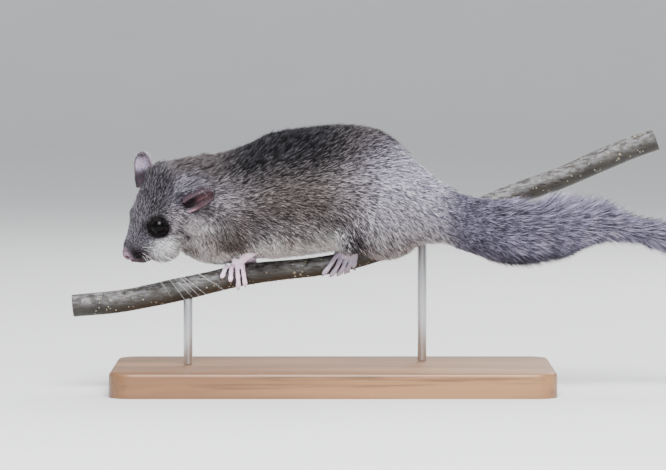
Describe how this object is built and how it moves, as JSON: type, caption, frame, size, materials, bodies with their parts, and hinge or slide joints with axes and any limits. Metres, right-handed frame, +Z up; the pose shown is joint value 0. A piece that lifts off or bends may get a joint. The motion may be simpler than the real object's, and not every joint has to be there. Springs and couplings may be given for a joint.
{
  "type": "edible dormouse",
  "caption": "Grey bushy-tailed dormouse with large black eyes and pale belly, walking along a cut length of branch on two rods and a flat wooden base.",
  "frame": {"origin": "Middle of the underside of the stand's base, on the surface that the model stands on.", "axes": "+Z is up. +X runs from the animal's nose to its tail, along the base's longest side. +Y points to the animal's right side, so its left side is at -Y."},
  "size_m": [0.2729, 0.084, 0.1059],
  "materials": {
    "fur_grey": "short dense fur, charcoal grey on the back, white below",
    "fur_tail": "long soft bushy hair, bluish grey",
    "skin_ear": "thin pinkish grey skin with fine pale hairs",
    "skin_nose": "moist lilac pink skin",
    "skin_foot": "pinkish white skin with fine hairs",
    "eye_black": "glossy black",
    "bark": "smooth grey-brown bark with pale lenticels",
    "stand_wood": "satin varnished hardwood",
    "rod_steel": "fine brushed"
  },
  "bodies": {
    "root": {"head": "fur_grey", "neck": "fur_grey", "torso_front": "fur_grey", "torso_hind": "fur_grey", "foreleg_left": "fur_grey", "foreleg_right": "fur_grey", "hindleg_left": "fur_grey", "hindleg_right": "fur_grey", "forefoot_left": "skin_foot", "forefoot_right": "skin_foot", "hindfoot_left": "skin_foot", "hindfoot_right": "skin_foot", "ear_left": "skin_ear", "ear_right": "skin_ear", "eye_left": "eye_black", "eye_right": "eye_black", "nose": "skin_nose", "tail_base": "fur_tail", "tail_middle": "fur_tail", "tail_tip": "fur_tail", "perch_branch": "bark", "stand_base": "stand_wood", "stand_rod_front": "rod_steel", "stand_rod_back": "rod_steel"}
  },
  "joints": []
}
